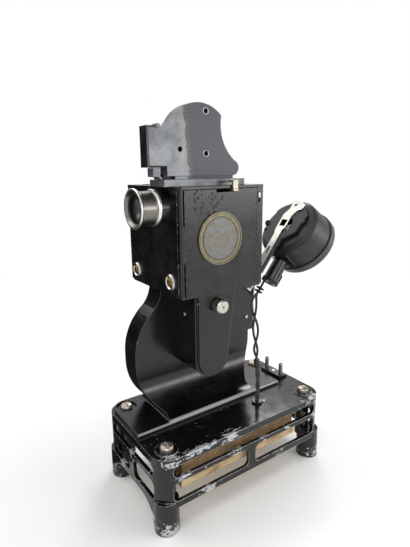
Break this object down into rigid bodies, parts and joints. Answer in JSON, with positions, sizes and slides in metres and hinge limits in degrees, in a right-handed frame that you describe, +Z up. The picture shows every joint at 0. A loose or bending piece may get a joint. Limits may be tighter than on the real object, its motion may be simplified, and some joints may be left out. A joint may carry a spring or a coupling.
{
  "type": "hand-cranked film projector",
  "caption": "Hand-cranked home projector for narrow film, with a cast base and pillar, a sheet case with a lens, a film magazine on top and a hinged lamp house at the back.",
  "frame": {"origin": "on the ground under the middle of the base, at the centre of the four foot screw holes", "axes": "+Z up, -Y the way the lens looks, +X the side with the door and the medallion"},
  "size_m": [0.136, 0.1908, 0.3033],
  "materials": {
    "black_japan": "gloss black stoved enamel on cast metal, chipped to bright metal at the edges",
    "black_sheet": "semi-gloss black enamel on sheet metal",
    "worn_black": "worn satin black enamel, greyed in front",
    "lamp_black": "matt black enamel",
    "nickel": "worn nickel plate",
    "steel": "plain steel",
    "brass": "warm brass",
    "screw_metal": "nickel worn to brass",
    "dull_brass": "dull, darkened brass",
    "tan_board": "tan fibre board",
    "cream_board": "cream fibre board",
    "moulding": "black moulding",
    "ivory": "pale worn nickel",
    "glass": "clear glass",
    "blackened": "blackened sheet",
    "black_wood": "black turned wood",
    "mirror": "polished reflector",
    "cord_cloth": "black braided cotton over twisted wires"
  },
  "bodies": {
    "stand": {"base_casting": "black_japan", "corner_screws": "screw_metal", "resistor_former": "tan_board", "resistor_mat": "cream_board", "pin_plinth": "moulding", "mains_pins": "steel", "cord_bush": "moulding", "pillar": "black_japan", "rear_bracket": "black_sheet", "bracket_pin": "nickel", "chamber_body": "black_japan", "case_floor": "black_sheet", "case_front": "black_sheet", "case_back": "black_sheet", "case_side": "black_sheet", "case_lid": "black_sheet", "door_pin": "steel", "screw_cups": "nickel", "screw_domes": "brass", "lens_tube": "nickel", "rear_glass": "glass", "film_gate": "steel", "mechanism_frame": "steel", "shaft_bushes": "brass", "magazine_base": "worn_black", "magazine_near_cheek": "worn_black", "magazine_far_cheek": "worn_black", "magazine_rim": "worn_black", "hinge_bracket": "steel", "hinge_pin": "steel", "lamp_cord": "cord_cloth"},
    "chamber_cover": {"chamber_cover": "black_japan"},
    "thumbscrew": {"thumbscrew": "nickel"},
    "door": {"side_door": "black_sheet", "medallion": "dull_brass"},
    "latch": {"door_latch": "nickel"},
    "lever": {"framing_lever": "ivory"},
    "focus": {"lens_barrel": "nickel", "front_glass": "glass"},
    "crank": {"crank_shaft": "steel", "drive_gear": "brass", "crank_arm": "nickel", "handle_pin": "steel"},
    "handle": {"crank_handle": "black_wood"},
    "shutter": {"shutter_shaft": "steel", "pinion": "steel", "flywheel": "brass", "barrel_shutter": "blackened", "claw_cam": "steel"},
    "claw": {"claw": "steel"},
    "flap": {"magazine_door": "worn_black"},
    "lamp_house": {"gate_strip": "nickel", "lamp_flange": "lamp_black", "lamp_drum": "lamp_black", "holder_tube": "lamp_black", "condenser": "glass"},
    "lamp": {"lamp_holder": "brass", "bulb": "glass"},
    "cap": {"rear_cap": "lamp_black", "reflector": "mirror"}
  },
  "joints": [
    {"name": "cover_slide", "type": "slide", "parent": "stand", "child": "chamber_cover", "axis": [1, 0, 0], "range_m": [0, 0.03]},
    {"name": "thumbscrew_turn", "type": "hinge", "parent": "chamber_cover", "child": "thumbscrew", "pos_m": [0.0204, -0.0152, 0.1575], "axis": [1, 0, 0], "continuous": true},
    {"name": "door_hinge", "type": "hinge", "parent": "stand", "child": "door", "pos_m": [0.0302, -0.0522, 0.209], "axis": [0, 0, 1], "range_deg": [-100, 0]},
    {"name": "latch_slide", "type": "slide", "parent": "stand", "child": "latch", "axis": [0, 0, 1], "range_m": [-0.0034, 0]},
    {"name": "framing_slide", "type": "slide", "parent": "stand", "child": "lever", "axis": [0, 1, 0], "range_m": [-0.012, 0]},
    {"name": "focus_slide", "type": "slide", "parent": "stand", "child": "focus", "axis": [0, 1, 0], "range_m": [-0.003, 0.003]},
    {"name": "crank_turn", "type": "hinge", "parent": "stand", "child": "crank", "pos_m": [-0.0455, -0.016, 0.206], "axis": [1, 0, 0], "continuous": true},
    {"name": "handle_turn", "type": "hinge", "parent": "crank", "child": "handle", "pos_m": [-0.069, 0.039, 0.206], "axis": [1, 0, 0], "continuous": true},
    {"name": "shutter_turn", "type": "hinge", "parent": "stand", "child": "shutter", "pos_m": [0.014, 0.002, 0.234], "axis": [1, 0, 0], "continuous": true},
    {"name": "claw_slide", "type": "slide", "parent": "stand", "child": "claw", "axis": [0, 0, 1], "range_m": [-0.0018, 0.0018]},
    {"name": "flap_hinge", "type": "hinge", "parent": "stand", "child": "flap", "pos_m": [0.0145, -0.0602, 0.2872], "axis": [1, 0, 0], "range_deg": [-95, 0]},
    {"name": "lamp_house_hinge", "type": "hinge", "parent": "stand", "child": "lamp_house", "pos_m": [0.015, 0.0135, 0.1702], "axis": [1, 0, 0], "range_deg": [0, 38.8], "deforming": ["lamp_cord"]},
    {"name": "lamp_slide", "type": "slide", "parent": "lamp_house", "child": "lamp", "axis": [0, -0.6266, -0.7793], "range_m": [0, 0.02], "deforming": ["lamp_cord"]},
    {"name": "cap_turn", "type": "hinge", "parent": "lamp_house", "child": "cap", "pos_m": [0.0145, 0.08231, 0.19674], "axis": [0, 0.7793, -0.6266], "range_deg": [0, 25]}
  ],
  "couplings": [
    {"joint": "shutter_turn", "follows": "crank_turn", "ratio": -8}
  ]
}
